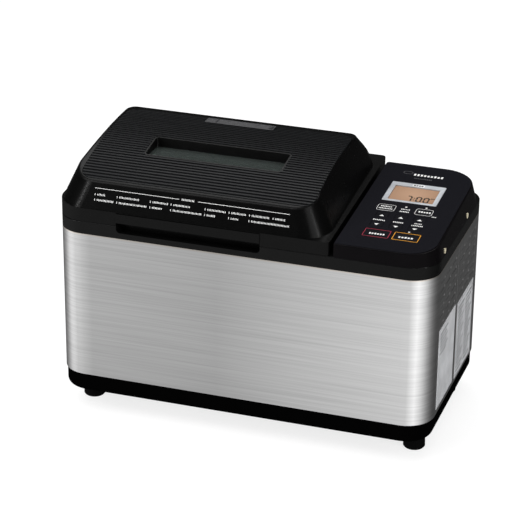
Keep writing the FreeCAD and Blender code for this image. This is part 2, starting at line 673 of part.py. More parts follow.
def make_pan():
    """Drafted baking pan with a rolled rim, bail ears and two shaft bosses."""
    def plan(inset, z):
        x = (D["oven_x"] - D["pan_half_x"] + inset, D["oven_x"] + D["pan_half_x"] - inset)
        y = (D["oven_y"] - D["pan_half_y"] + inset, D["oven_y"] + D["pan_half_y"] - inset)
        return x, y, z, [24 - as_size(inset).value] * 4

    wall, draft = D["pan_wall"], D["pan_draft"]
    outer = loft("pan_outer", plan(draft, D["pan_bottom"]), plan(0, D["pan_top"]))
    rounded = fillet("pan_rounded", outer, 6, flat_at(D["pan_bottom"]))
    floor = D["pan_bottom"] + wall
    space = loft("pan_hollow", plan(draft + wall, floor), plan(wall, D["pan_top"] + 0.5))
    hollow = fillet("pan_hollow_round", space, 4.5, flat_at(floor))
    x, y, z, radii = plan(-2.5, D["pan_top"] - 2)
    rim = prism("pan_rim", x, y, (z, D["pan_top"]), radii)
    ears = []
    for index, side in enumerate((-1, 1)):
        inner = D["oven_x"] + side * (D["pan_half_x"].value - 2)
        outer_x = D["oven_x"] + side * (D["pan_half_x"].value + 3.7)
        span = (outer_x, inner) if side < 0 else (inner, outer_x)
        ears.append(box(f"pan_ear{index}", span, (D["oven_y"] - 8, D["oven_y"] + 8), (212, D["pan_top"])))
    bosses = [cylinder(f"pan_boss{index}", 9, 11, (x, D["oven_y"], 95)) for index, x in enumerate(SHAFTS.values())]
    body = cut("pan_shell", fuse("pan_body", rounded, rim, *ears), hollow)
    body = fuse("pan_with_bosses", body, *bosses)
    bored = drilled("pan_bored", body, [(x, D["oven_y"]) for x in SHAFTS.values()],
                    D["shaft_radius"] + D["running_gap"], (90, 110))
    pivots = []
    for index, (low, high) in enumerate(((-126, -113), (113, 126))):
        pivots.append(cylinder(f"pan_pivot{index}", D["bail_radius"] + D["running_gap"], high - low,
                               (D["oven_x"] + low, D["oven_y"], D["bail_height"]), "x"))
    node("baking_pan", cut("baking_pan", bored, *pivots))


def make_pan_base():
    """Skirt under the pan that stands just clear of the chamber floor round the couplings."""
    def plan(inset):
        return ((D["oven_x"] - 90 + inset, D["oven_x"] + 90 - inset),
                (D["oven_y"] - 34 + inset, D["oven_y"] + 34 - inset))

    x, y = plan(0)
    outer = prism("pan_base_outer", x, y, (D["oven_floor"] + 1.2, D["pan_bottom"]), [30] * 4)
    x, y = plan(2)
    inner = prism("pan_base_inner", x, y, (D["oven_floor"], D["pan_bottom"] + 1), [28] * 4)
    node("pan_base_ring", cut("pan_base_ring", outer, inner))


def make_bail():
    """Wire bail, folded forward and level beside the pan's rim."""
    x, y = D["oven_x"].value, D["oven_y"].value
    half, reach = D["bail_half_x"].value, D["bail_reach"].value
    route = [(x - 113.5, y), (x - half, y), (x - half, y - reach),
             (x + half, y - reach), (x + half, y), (x + 113.5, y)]
    node("pan_handle", tube("pan_handle", route, 4.5, D["bail_radius"].value, D["bail_height"].value))


def make_blade_side(side, x, towards):
    """One pan shaft with its wing coupling, and the kneading blade on top of it."""
    shaft = D["shaft_radius"]
    y = D["oven_y"]
    bar = turned(f"{side}_pan_bar", [(0, 93.5), (shaft, 93.5), (shaft, 128), (3.2, 128.8), (0, 128.8)], x, y)
    wing = box(f"{side}_pan_wing", (x - 14, x + 14), (y - 3.5, y + 3.5), (92.6, 94.6))
    key = box(f"{side}_pan_wing_key", (x - 14, x + 14), (y - 3.5, y + 3.5), (87.8, 93))
    core = cylinder(f"{side}_pan_wing_clear", 6, 5.4, (x, y, 87))
    node(f"{side}_pan_shaft", fuse(f"{side}_pan_shaft", bar, wing, cut(f"{side}_pan_wing_legs", key, core)))
    hub = turned(f"{side}_blade_hub", [(shaft + 0.1, 107), (8.5, 107), (7.5, 133), (0, 136), (0, 129.5),
                                       (shaft + 0.1, 129.5)], x, y)
    outline = doc.addObject("Part::Polygon", f"{side}_blade_outline")
    shape = [(6, 107), (36, 107), (40, 110), (37, 118), (28, 127), (14, 133), (6, 133)]
    outline.Nodes = [Vector(x.value + towards * reach, y.value - 2.5, height) for reach, height in shape]
    outline.Close = True
    fin = doc.addObject("Part::Extrusion", f"{side}_blade_fin")
    fin.Base = outline
    fin.DirMode = "Custom"
    fin.Dir = Vector(0, 1, 0)
    fin.LengthFwd = 5
    fin.Solid = True
    node(f"{side}_blade", fuse(f"{side}_blade", hub, fin))


# Lid.

def crown(name, sink):
    """Long round bar whose upper surface is the lid's crown, lowered by sink."""
    radius = D["crown_radius"] - sink
    axis_z = D["top_height"] - D["crown_radius"]
    return cylinder(name, radius, 500, (-310, D["dome_crown_y"], axis_z), "x")


def dome(name, inset, sink):
    """Leaning dome of the lid under its crown and back slope, drawn in by inset and lowered by sink."""
    corner = D["corner"] - 0.2 - inset
    low = ((D["dome_left"] + inset, D["dome_right"] - inset),
           (D["front"] + 0.2 + inset, D["lid_back"] - 2 - inset), D["dome_base"] - inset, [corner] * 4)
    left, right = D["dome_high_left"].value + inset, D["dome_high_right"].value - inset
    high_front, high_back = D["dome_high_front"].value + inset, D["dome_high_back"].value - inset
    splay_left, splay_right = D["dome_splay_left"].value, D["dome_splay_right"].value
    corners = [(left + splay_left, high_front), (right - splay_right, high_front),
               (right, high_back), (left, high_back)]
    radii = [34 - inset, 22 - inset, 22 - inset, 29 - inset]
    high = rounded_corners(name + "_high", corners, D["dome_high"], radii)
    blank = ruled(name + "_blank", rounded_outline(name + "_low", *low), high)
    lean = 0.9
    back_top = D["dome_back_top"].value - 1.35 * inset
    crown_z = D["top_height"].value - 1
    slope = [(-140, 255), (-140, 340), (back_top - (340 - crown_z) * lean, 340),
             (back_top + (crown_z - 255) * lean, 255)]
    return common(name, blank, crown(name + "_crown", sink), side_profile(name + "_slope", slope, (-250, 120)))


def on_crown(sink):
    """Edge test: the whole edge lies on the crown surface."""
    radius = D["crown_radius"].value - sink
    axis_y, axis_z = D["dome_crown_y"].value, D["top_height"].value - D["crown_radius"].value

    def wanted(edge):
        spots = edge.discretize(5)
        return all(abs(math.hypot(p.y - axis_y, p.z - axis_z) - radius) < 0.01 for p in spots)

    return wanted


def back_corner(edge):
    """Edge test: the slanting edges where the dome's back slope meets its sides."""
    bounds = edge.BoundBox
    return bounds.YMin > 50 and bounds.ZLength > 20 and bounds.YLength > 20


def make_lid_shell():
    """Outer lid: rim, front lip with its finger pocket, dome and hinge knuckles."""
    bottom = D["lid_bottom"]
    radii = [D["corner"], 4, 6, D["corner"]]
    rim_blank = prism("rim_blank", (-HALF, D["lid_right"]), (D["front"], D["lid_back"]), (bottom, 300), radii)
    rim = common("rim", rim_blank, deck_wedge("rim_wedge"))
    skin = 0.6
    dome_solid = fillet("dome_back_round", dome("dome_outer", 0, skin), 14, back_corner)
    dome_round = fillet("dome_round", dome_solid, 4, on_crown(skin))
    wall = D["wall"]
    cavity_blank = prism("rim_cavity_blank", (-HALF + wall, D["lid_right"] - wall),
                         (D["front"] + wall, D["lid_back"] - wall), (bottom - 1, 300),
                         [D["corner"] - wall, 1.5, 3.5, D["corner"] - wall])
    rim_cavity = common("rim_cavity", cavity_blank, deck_wedge("rim_cavity_wedge", wall.value))
    shell = cut("lid_hollow", fuse("lid_solid", rim, dome_round), rim_cavity, dome("dome_inner", 2.5, 5.2))
    # Finger pocket behind the lip.
    left, right = D["recess_left"], D["recess_right"]
    pocket_back = D["recess_back"]
    pocket = box("lid_pocket", (left - 2, right + 2), (D["front"] + 1, pocket_back + 1.5), (bottom, 264))
    lip = prism("lid_lip", (left, right), (D["lip_front"], D["front"] + 3), (D["lip_bottom"], 265.4),
                [1.4, 1.4, 0.5, 0.5])
    knuckles = []
    for index, side in enumerate((-1, 1)):
        start = D["oven_x"] + side * 102 - 8.5
        knuckles.append(box(f"knuckle_arm{index}", (start, start + 17), (D["lid_back"] - 2, D["hinge_y"]),
                            (D["hinge_z"] - 6.5, D["hinge_z"] + 6.5)))
        knuckles.append(cylinder(f"knuckle{index}", 6.5, 17, (start, D["hinge_y"], D["hinge_z"]), "x"))
    body = fuse("lid_body", shell, pocket, lip, *knuckles)
    under_lip = box("lid_under_lip", (left, right), (-140, pocket_back), (bottom - 1, D["lip_bottom"]))
    behind_lip = box("lid_behind_lip", (left, right), (D["front"] + 2.5, pocket_back), (bottom, 262))
    bore = cylinder("lid_bore", D["pin_radius"] + D["running_gap"], 260,
                    (D["oven_x"] - 130, D["hinge_y"], D["hinge_z"]), "x")
    corner = D["panel_corner"]
    panel_seat = cut("panel_seat", prism("panel_seat_blank", *panel_plan(0), (285, 335), [corner] * 4),
                     crown("panel_seat_floor", 2.4))
    window_seat = prism("window_seat", *window_plan(2), (290, 335), [5] * 4)
    node("lid_shell", cut("lid_shell", body, under_lip, behind_lip, bore, panel_seat, window_seat))


def panel_plan(inset):
    """Plan of the ribbed top panel."""
    half_x = D["panel_half_x"] - inset
    return ((D["oven_x"] - half_x, D["oven_x"] + half_x), (D["panel_front"] + inset, D["panel_back"] - inset))


def window_plan(margin):
    """Plan of the viewing window, widened by a margin."""
    return ((D["window_left"] - margin, D["window_right"] + margin),
            (D["window_front"] - margin, D["window_back"] + margin))


def make_rib_panel():
    """Curved panel with ribs from side to side, open at the window."""
    crown_radius = D["crown_radius"].value
    axis_y, axis_z = D["dome_crown_y"].value, D["top_height"].value - crown_radius
    low_y, high_y = -120.0, 54.0
    pitch = D["rib_pitch"].value
    base, tip = crown_radius - 0.1 - D["rib_height"].value, crown_radius - 0.1
    left_x = D["oven_x"].value - 150

    def spot(y, radius):
        angle = math.asin((y - axis_y) / crown_radius)
        return Vector(left_x, axis_y + radius * math.sin(angle), axis_z + radius * math.cos(angle))

    count = int((high_y - low_y) / pitch)
    over, under = [], []
    for index in range(count):
        y = low_y + index * pitch
        over += [spot(y, base), spot(y + 1.5, base), spot(y + 2.0, tip), spot(y + 4.0, tip), spot(y + 4.5, base)]
        under.append(spot(y, crown_radius - 2.3))
    end = low_y + count * pitch
    outline = doc.addObject("Part::Polygon", "rib_outline")
    outline.Nodes = over + [spot(end, base), spot(end, crown_radius - 2.3)] + under[::-1]
    outline.Close = True
    sheet = doc.addObject("Part::Extrusion", "rib_sheet")
    sheet.Base = outline
    sheet.DirMode = "Custom"
    sheet.Dir = Vector(1, 0, 0)
    sheet.LengthFwd = 300
    sheet.Solid = True
    trim = prism("rib_trim", *panel_plan(0.5), (285, 335), [D["panel_corner"] - 0.5] * 4)
    hole = prism("rib_hole", *window_plan(2), (285, 335), [5] * 4)
    node("lid_rib_panel", cut("lid_rib_panel", common("rib_trimmed", sheet, trim), hole))


def make_window():
    """Well that leads down from the lid's top to the window glass, and the glass."""
    glass_top = D["glass_top"]
    blank = prism("well_blank", *window_plan(2), (D["glass_top"] - 3, 335), [5] * 4)
    topped = common("well_topped", blank, crown("well_crown", 0.7))
    opening = prism("well_opening", *window_plan(0), (290, 336), [3] * 4)
    seat = prism("well_seat", *window_plan(1), (290, glass_top), [4] * 4)
    node("window_frame", cut("window_frame", topped, opening, seat))
    node("window_glass", prism("window_glass", *window_plan(0.9), (glass_top - 3, glass_top), [3.9] * 4))


def make_liner():
    """Pressed inner lid: a deep hollow over the pan with a flange all round."""
    def plan(inset, z):
        half_x, half_y = 134.8 - inset, 84.8 - inset
        return ((D["oven_x"] - half_x, D["oven_x"] + half_x), (D["oven_y"] - half_y, D["oven_y"] + half_y),
                z, [20.8 - inset / 2] * 4)

    flange_bottom, ceiling = D["lid_bottom"] + 2, 300
    outer = loft("liner_outer", plan(0, flange_bottom), plan(6, ceiling + 0.8))
    flange = prism("liner_flange", (-212, 93), (-114, 92), (flange_bottom, flange_bottom + 0.8), [14] * 4)
    inner = loft("liner_inner", plan(0.8, flange_bottom - 0.1), plan(6.8, ceiling))
    hole = prism("liner_window", *window_plan(-2), (290, 310), [3] * 4)
    node("lid_liner", cut("lid_liner", fuse("liner_body", outer, flange), inner, hole))


def make_lid_heater():
    """Flat band heater round the outside of the liner."""
    def plan(margin):
        return ((D["oven_x"] - 131.8 - margin, D["oven_x"] + 131.8 + margin),
                (D["oven_y"] - 81.8 - margin, D["oven_y"] + 81.8 + margin))

    outer = prism("lid_heater_outer", *plan(2.4), (279, 289), [20] * 4)
    inner = prism("lid_heater_inner", *plan(0), (278, 290), [17.6] * 4)
    node("lid_heater", cut("lid_heater", outer, inner))


def make_lid_label():
    """Blank caution plate near the back of the lid's top, bent to the crown."""
    plate = prism("lid_label_blank", (-101, -15), (32.5, 48.5), (310, 335), [1.5] * 4)
    skin = cut("lid_label_skin", crown("lid_label_over", -0.35), crown("lid_label_under", -0.02))
    node("lid_label", common("lid_label", plate, skin))


# Control end. Its pieces are drawn in a level frame and then tilted with the deck: there x is the
# machine's X, y is the distance back from the front edge, and z is the height over the film.

def deck_placement():
    """Where the level panel frame sits on the sloping deck."""
    slope = D["deck_slope_deg"].value
    return Placement(Vector(0, D["front"].value, D["deck_front"].value), Rotation(Vector(1, 0, 0), slope))


def on_deck(obj):
    """Tilt and lift a finished piece from the level panel frame to the deck."""
    obj.Placement = deck_placement()
    return obj


COLUMNS = {"course": 144.3, "cycle": 166.8, "time": 189}
ARROW_ROWS = {"up": 85.7, "down": 62.5}
# Each key: middle x, middle y, width, depth, corner radius.
KEYS = {
    "crust_key": (143.8, 105.3, 22, 16.5, 3.0),
    "timer_key": (188.6, 105.3, 21, 16.5, 3.0),
    "cancel_key": (150.8, 39.0, 31, 19.5, 1.0),
    "start_key": (185.3, 39.0, 31, 19.5, 1.0),
}
for column, column_x in COLUMNS.items():
    for direction, row_y in ARROW_ROWS.items():
        KEYS[f"{column}_{direction}_key"] = (column_x, row_y, 14, 13, 1.5)
BEZEL_X, BEZEL_Y = (132.8, 198), (123.8, 174.8)
SCREEN_X, SCREEN_Y = (138.8, 192.8), (127.3, 165.8)
LIGHTS = ((165.7, 112.5), (188.6, 116.6), (185.3, 51.6))


def centred(middle, size):
    """Low and high ends of a stretch, from its middle and its size."""
    return (middle - size / 2, middle + size / 2)


def key_blank(name, key, margin, z):
    """Rounded block on a key's outline, widened by a margin."""
    x, y, width, depth, corner = KEYS[key]
    return prism(name, centred(x, width + 2 * margin), centred(y, depth + 2 * margin), z, [corner + margin] * 4)


def make_keys():
    """Ten keys, each a separate cap that stands in its own hole, flush with the film."""
    for key in KEYS:
        blank = key_blank(key + "_blank", key, 0, (-D["key_depth"], 0))
        cap = fillet(key, blank, 0.4, flat_at(0))
        node(key, on_deck(cap))


def make_overlay():
    """Film over the top of the housing, with holes for the keys, the bezel and the lights."""
    film = D["film"]
    sheet = prism("overlay_sheet", (D["housing_left"] + 1, 223.4), (1.6, 226), (-film, 0), [1.5, 32, 38, 3])
    holes = [key_blank(f"overlay_{key}", key, D["key_gap"].value, (-2, 2)) for key in KEYS]
    holes.append(prism("overlay_bezel", BEZEL_X, BEZEL_Y, (-2, 2), [1] * 4))
    holes += [cylinder(f"overlay_light{index}", 1.2, 4, (x, y, -2)) for index, (x, y) in enumerate(LIGHTS)]
    node("control_overlay", on_deck(cut("control_overlay", sheet, *holes)))


def make_display():
    """Display bezel, display module behind it, and the three indicator lights."""
    blank = prism("bezel_blank", BEZEL_X, BEZEL_Y, (-D["film"], 0.6), [1] * 4)
    rounded = fillet("bezel_round", blank, 0.5, flat_at(0.6))
    window = prism("bezel_window", SCREEN_X, SCREEN_Y, (-2, 2), [0.6] * 4)
    node("lcd_bezel", on_deck(cut("lcd_bezel", rounded, window)))
    module = prism("lcd_module", (135.5, 195), (125.5, 170), (-6.4, -D["film"]), [0.5] * 4)
    node("lcd_module", on_deck(module))
    lights = [cylinder(f"light{index}", 1.2, 5, (x, y, -4.8)) for index, (x, y) in enumerate(LIGHTS)]
    node("indicator_lights", on_deck(group("indicator_lights", lights)))


def make_control_housing():
    """Moulded housing at the right end, its outer sides leaning in a little towards the top."""
    def solid(name, inset, drop):
        left, front = D["housing_left"] + inset, D["front"] + inset
        low = ((left, HALF - inset), (front, 104 - inset), D["collar_top"] - inset / 8,
               [2 if inset == 0 else 1, D["corner"] - inset, 36 - inset, 3 - inset / 2])
        high = ((left, 223.5 - inset), (front + 0.4, 91.6 - inset), 286,
                [2 if inset == 0 else 1, D["corner"] - inset, 40 - inset, 3 - inset / 2])
        return common(name, loft(name + "_loft", low, high), deck_wedge(name + "_wedge", drop))

    slope = math.radians(D["deck_slope_deg"].value)
    film = D["film"].value / math.cos(slope)
    outer = solid("housing_outer", 0, film)

    def top_edge(edge):
        middle = edge.BoundBox.Center
        height = middle.z - (D["deck_front"].value - film + (middle.y - D["front"].value) * math.tan(slope))
        flat = edge.BoundBox.ZLength < 0.1 * max(edge.BoundBox.YLength, 1.0)
        return abs(height) < 0.3 and flat

    rounded = fillet("housing_round", outer, 1.0, top_edge)
    hollow = solid("housing_hollow", 2.5, film + 2.5)
    tools = [key_blank(f"housing_{key}", key, D["key_gap"].value, (-6, 2)) for key in KEYS]
    tools.append(prism("housing_lcd", (135.2, 195.3), (125.2, 170.3), (-8, 2), [0.8] * 4))
    tools += [cylinder(f"housing_light{index}", 1.2, 8, (x, y, -6)) for index, (x, y) in enumerate(LIGHTS)]
    openings = on_deck(group("housing_openings", tools))
    caps = [cylinder(f"housing_cap_hole{index}", 3.2, 12, (220, y, z), "x")
            for index, (y, z) in enumerate(CAP_PLACES)]
    node("control_housing", cut("control_housing", rounded, hollow, openings, *caps))


CAP_PLACES = ((-84, 254), (24, 254))


def make_screw_caps():
    """Two pale caps over the side screws of the housing."""
    caps = [cylinder(f"cap{index}", 3.2, 5, (223.6, y, z), "x") for index, (y, z) in enumerate(CAP_PLACES)]
    node("screw_caps", group("screw_caps", caps))


def make_control_board():
    """Board under the film, and the tact switches that the keys press."""
    node("control_board", on_deck(prism("control_board", (124, 212), (22, 176), (-11.6, -10), [2] * 4)))
    switches = []
    for key, (x, y, width, depth, corner) in KEYS.items():
        base = box(f"switch_{key}_base", centred(x, 6), centred(y, 6), (-10, -6))
        stem = cylinder(f"switch_{key}_stem", 1.75, 2.2, (x, y, -6))
        switches.append(fuse(f"switch_{key}", base, stem))
    node("key_switches", on_deck(group("key_switches", switches)))


def build():
    """Make every piece."""
    make_base_tray()
    make_feet()
    make_screws()
    make_wraps()
    make_side_labels()
    make_upper_collar()
    make_hinge_pins()
    make_cord_gland()
    make_oven()
    make_heaters()
    make_sensor()
    make_chassis()
    make_bearings()
    for side, x in SHAFTS.items():
        make_drive_side(side, x)
    make_belts()
    make_motor()
    make_power_board()
    make_pan()
    make_pan_base()
    make_bail()
    make_blade_side("left", SHAFTS["left"], 1)
    make_blade_side("right", SHAFTS["right"], -1)
    make_lid_shell()
    make_rib_panel()
    make_window()
    make_liner()
    make_lid_heater()
    make_lid_label()
    make_control_housing()
    make_overlay()
    make_display()
    make_keys()
    make_screw_caps()
    make_control_board()
    doc.recompute()


def check_and_export():
    """Stop on any failed object or bad shape, then write one file for each piece."""
    failed = [obj.Name for obj in doc.Objects if {"Invalid", "Error"} & set(obj.State)]
    bad = [obj.Label for obj in NODES if obj.Shape.isNull() or not obj.Shape.isValid() or not obj.Shape.Solids]
    if failed or bad:
        raise RuntimeError(f"failed objects: {failed}; bad shapes: {bad}")
    os.makedirs("parts", exist_ok=True)
    for obj in NODES:
        obj.Shape.exportStep(f"parts/{obj.Label}.step")
        print(f"{obj.Label}: {len(obj.Shape.Solids)} solids, {obj.Shape.Volume:.0f} mm3")
    print(len(NODES), "pieces")


build()
check_and_export()
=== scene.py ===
"""Looks of the bread machine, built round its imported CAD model.

Lengths in the prints are in millimetres and become metres in the mesh builders. Each print is laid out
on the face that carries it: the key panel, the dome's front, the crown's label and the side plates.
Stage, lights and camera are in metres.
"""
import math
import random
import bmesh
import bpy
from mathutils import Euler, Matrix, Vector


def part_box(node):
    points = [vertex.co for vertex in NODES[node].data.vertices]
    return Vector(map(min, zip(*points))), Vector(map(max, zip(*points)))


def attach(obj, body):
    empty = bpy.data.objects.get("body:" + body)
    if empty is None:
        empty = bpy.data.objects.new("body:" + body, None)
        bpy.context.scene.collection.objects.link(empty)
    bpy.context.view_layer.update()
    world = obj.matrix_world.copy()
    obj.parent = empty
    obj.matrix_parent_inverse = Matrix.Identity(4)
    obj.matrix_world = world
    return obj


MM = 0.001
HALF_WIDTH = 0.2285
STEEL_BOTTOM, STEEL_TOP = 0.051, 0.234
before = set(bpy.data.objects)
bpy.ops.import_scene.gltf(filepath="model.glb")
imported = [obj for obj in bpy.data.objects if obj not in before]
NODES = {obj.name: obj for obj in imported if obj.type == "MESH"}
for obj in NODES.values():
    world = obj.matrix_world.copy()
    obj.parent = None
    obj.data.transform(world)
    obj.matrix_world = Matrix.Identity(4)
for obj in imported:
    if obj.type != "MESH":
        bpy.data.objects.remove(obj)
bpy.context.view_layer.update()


# ---------------------------------------------------------------- node materials

SOCKETS = {"color": "Base Color", "metal": "Metallic", "rough": "Roughness", "ior": "IOR",
           "transmission": "Transmission Weight", "specular": "Specular IOR Level",
           "emission": "Emission Color", "emission_strength": "Emission Strength",
           "normal": "Normal", "anisotropic": "Anisotropic"}


class Look:
    """One node material, built by short calls."""

    def __init__(self, name, **settings):
        self.material = bpy.data.materials.new(name)
        self.material.use_nodes = True
        self.tree = self.material.node_tree
        self.shader = self.tree.nodes["Principled BSDF"]
        self.set(**settings)

    def set(self, **settings):
        """Set or link sockets of the shader; a grey level stands for a colour."""
        for key, value in settings.items():
            socket = self.shader.inputs[SOCKETS[key]]
            if isinstance(value, bpy.types.NodeSocket):
                self.tree.links.new(value, socket)
            elif key in ("color", "emission"):
                socket.default_value = (*rgb(value), 1.0)
            else:
                socket.default_value = value

    def node(self, kind, settings=None, **inputs):
        """Add a node; inputs are its sockets by name, given as values or as other nodes' outputs."""
        made = self.tree.nodes.new(kind)
        for key, value in (settings or {}).items():
            setattr(made, key, value)
        for key, value in inputs.items():
            numbered = key[0] == "i" and key[1:].isdigit()
            socket = made.inputs[int(key[1:]) if numbered else key]
            if isinstance(value, bpy.types.NodeSocket):
                self.tree.links.new(value, socket)
            else:
                socket.default_value = value
        return made

    def place(self, output="Object"):
        """Coordinates in metres on the object, or its normal."""
        return self.node("ShaderNodeTexCoord").outputs[output]

    def stretched(self, scale):
        """Object coordinates scaled per axis."""
        return self.node("ShaderNodeMapping", None, Vector=self.place(), Scale=scale).outputs["Vector"]

    def noise(self, scale, detail=3.0, roughness=0.5, vector=None):
        """Noise from 0 to 1 with a given number of cells per metre, or along a given vector."""
        made = self.node("ShaderNodeTexNoise", None, Scale=scale, Detail=detail, Roughness=roughness,
                         Vector=vector or self.place())
        return made.outputs["Fac"]

    def reach(self, axis, low, high):
        """Where a point lies between two places on one axis of the object, from 0 to 1."""
        split = self.node("ShaderNodeSeparateXYZ", None, Vector=self.place())
        made = self.node("ShaderNodeMapRange", None, Value=split.outputs[axis])
        made.inputs["From Min"].default_value = low
        made.inputs["From Max"].default_value = high
        return made.outputs["Result"]

    def cells(self, scale, output="Distance"):
        """Voronoi cells, for spangle and speckle."""
        made = self.node("ShaderNodeTexVoronoi", None, Vector=self.place(), Scale=scale)
        return made.outputs[output]

    def ramp(self, value, *stops):
        """Colour ramp through (position, grey or colour) stops."""
        made = self.node("ShaderNodeValToRGB", None, Fac=value)
        elements = made.color_ramp.elements
        while len(elements) < len(stops):
            elements.new(0.5)
        for element, (position, colour) in zip(elements, stops):
            element.position = position
            element.color = (*rgb(colour), 1.0)
        return made.outputs["Color"]

    def spread(self, value, low, high):
        """Map 0..1 to low..high."""
        made = self.node("ShaderNodeMapRange", None, Value=value)
        made.inputs["To Min"].default_value = low
        made.inputs["To Max"].default_value = high
        return made.outputs["Result"]

    def math(self, operation, value):
        """One math operation on one value."""
        return self.node("ShaderNodeMath", {"operation": operation}, i0=value).outputs[0]

    def mix(self, factor, first, second, blend="MIX"):
        """Mix of two colours."""
        made = self.node("ShaderNodeMix", {"data_type": "RGBA", "blend_type": blend})
        for index, value in ((0, factor), (6, first), (7, second)):
            socket = made.inputs[index]
            if isinstance(value, bpy.types.NodeSocket):
                self.tree.links.new(value, socket)
            elif index:
                socket.default_value = (*rgb(value), 1.0)
            else:
                socket.default_value = value
        return made.outputs[2]

    def bump(self, height, depth_mm, strength=0.6):
        """Fine relief of a given depth in millimetres, put on the shader's normal."""
        made = self.node("ShaderNodeBump", None, Height=height, Distance=depth_mm * MM,
                         Strength=strength)
        self.set(normal=made.outputs["Normal"])


def rgb(colour):
    """A grey level or an (r, g, b) triple as a triple."""
    return colour if isinstance(colour, tuple) else (colour, colour, colour)


def moulded_black(name, grey, rough_low, rough_high, specular=0.14):
    """Moulded black plastic: faint mottling, fine grain and uneven gloss."""
    look = Look(name, specular=specular)
    mottling = look.noise(38.0, 4.0)
    lighter = tuple(channel * 1.25 for channel in rgb(grey))
    look.set(color=look.ramp(mottling, (0.3, grey), (0.7, lighter)))
    look.set(rough=look.spread(look.noise(150.0, 5.0), rough_low, rough_high))
    look.bump(look.noise(2200.0, 2.0), 0.004)
    return look.material


def brushed_steel_skin():
    """Horizontally brushed sheet with painted light in its colour: a painted highlight where it rounds
    each corner, a painted gradient lighter to the right across the front, and painted shade towards the
    bottom; dark on the sides.
    """
    look = Look("brushed_steel_skin", metal=1.0, anisotropic=0.3)
    fine = look.noise(1.0, 3.0, 0.6, look.stretched((9.0, 9.0, 2600.0)))
    broad = look.noise(1.0, 2.0, 0.5, look.stretched((5.0, 5.0, 620.0)))
    streaks = look.mix(0.62, fine, broad)
    # Painted highlight: the colour is lightest where the sheet rounds each corner, less light on the
    # front and sides.
    normal = look.node("ShaderNodeSeparateXYZ", None, Vector=look.place("Normal"))
    sideways = look.math("ABSOLUTE", normal.outputs["X"])
    painted_corner_highlight = look.ramp(sideways, (0.0, 0.64), (0.22, 0.66), (0.48, 1.0), (0.72, 0.80), (0.90, 0.60))
    tone = look.ramp(streaks, (0.32, 0.80), (0.64, 1.0))
    # Painted light: across the front the colour grows lighter to the right, and is lightest near each
    # corner.
    along = look.ramp(look.reach("X", -HALF_WIDTH, HALF_WIDTH), (0.045, 1.0), (0.10, 0.66),
                      (0.44, 0.60), (0.65, 0.77), (0.84, 0.90), (0.97, 1.0))
    # Painted shade: the colour darkens towards the bottom; the topmost edge is tinted warm.
    upward = look.ramp(look.reach("Z", STEEL_BOTTOM, STEEL_TOP), (0.0, 0.93), (0.4, 1.0),
                       (0.988, 1.0), (0.996, (1.0, 0.93, 0.85)))
    toned = look.mix(1.0, painted_corner_highlight, tone, "MULTIPLY")
    look.set(color=look.mix(1.0, look.mix(1.0, toned, along, "MULTIPLY"), upward, "MULTIPLY"))
    look.set(rough=look.spread(streaks, 0.30, 0.44))
    look.bump(streaks, 0.012, 0.5)
    return look.material


def bare_steel(name, grey=0.55, low=0.22, high=0.4):
    """Turned or ground steel with fine scratches."""
    look = Look(name, metal=1.0)
    scratches = look.noise(1.0, 3.0, 0.6, look.stretched((500.0, 500.0, 2400.0)))
    look.set(color=look.ramp(scratches, (0.2, grey * 0.85), (0.8, grey)))
    look.set(rough=look.spread(scratches, low, high))
    look.bump(scratches, 0.006)
    return look.material


def coated_sheet():
    """Aluminised oven sheet with its faint spangle."""
    look = Look("coated_sheet", metal=0.9)
    spangle = look.cells(160.0, "Color")
    grey = look.node("ShaderNodeRGBToBW", None, Color=spangle).outputs["Val"]
    look.set(color=look.ramp(grey, (0.0, 0.50), (1.0, (0.60, 0.60, 0.59))))
    look.set(rough=look.spread(grey, 0.34, 0.50))
    look.bump(look.noise(900.0, 3.0), 0.01)
    return look.material


def non_stick():
    """Dark non-stick coating with pale speckle."""
    look = Look("non_stick", specular=0.6)
    fleck = look.cells(900.0)
    look.set(color=look.ramp(fleck, (0.06, 0.20), (0.16, (0.032, 0.031, 0.031))))
    look.set(rough=look.spread(look.noise(300.0, 4.0), 0.32, 0.46))
    look.bump(look.noise(700.0, 4.0), 0.02)
    return look.material


def soft_rubber(name, grey=0.018, specular=0.35):
    """Matt rubber with a fine pebble."""
    look = Look(name, specular=specular)
    pebble = look.noise(1300.0, 3.0)
    look.set(color=look.ramp(pebble, (0.3, grey), (0.7, grey * 1.5)))
    look.set(rough=look.spread(pebble, 0.55, 0.75))
    look.bump(pebble, 0.02)
    return look.material


def tinted_plastic(name, colour, low=0.35, high=0.5):
    """Satin plastic in one colour, slightly uneven."""
    look = Look(name)
    unevenness = look.noise(260.0, 4.0)
    darker = tuple(channel * 0.86 for channel in rgb(colour))
    look.set(color=look.ramp(unevenness, (0.3, darker), (0.7, colour)))
    look.set(rough=look.spread(unevenness, low, high))
    look.bump(look.noise(1500.0, 2.0), 0.006)
    return look.material


def oxidised(name, colour, metal=0.6):
    """Heater sheath or plated part with heat staining."""
    look = Look(name, metal=metal)
    stain = look.noise(90.0, 6.0, 0.65)
    darker = tuple(channel * 0.55 for channel in rgb(colour))
    look.set(color=look.ramp(stain, (0.35, darker), (0.65, colour)))
    look.set(rough=look.spread(stain, 0.35, 0.6))
    look.bump(look.noise(1100.0, 3.0), 0.01)
    return look.material


def rib_black():
    """The ribbed panel's satin black, with light scuffing along the ribs."""
    look = Look("rib_black", specular=0.085)
    along = look.noise(1.0, 3.0, 0.6, look.stretched((16.0, 500.0, 500.0)))
    look.set(color=look.ramp(along, (0.3, (0.0045, 0.0048, 0.0052)), (0.7, (0.007, 0.0074, 0.0082))))
    look.set(rough=look.spread(along, 0.30, 0.42))
    look.bump(look.noise(2400.0, 2.0), 0.004)
    return look.material


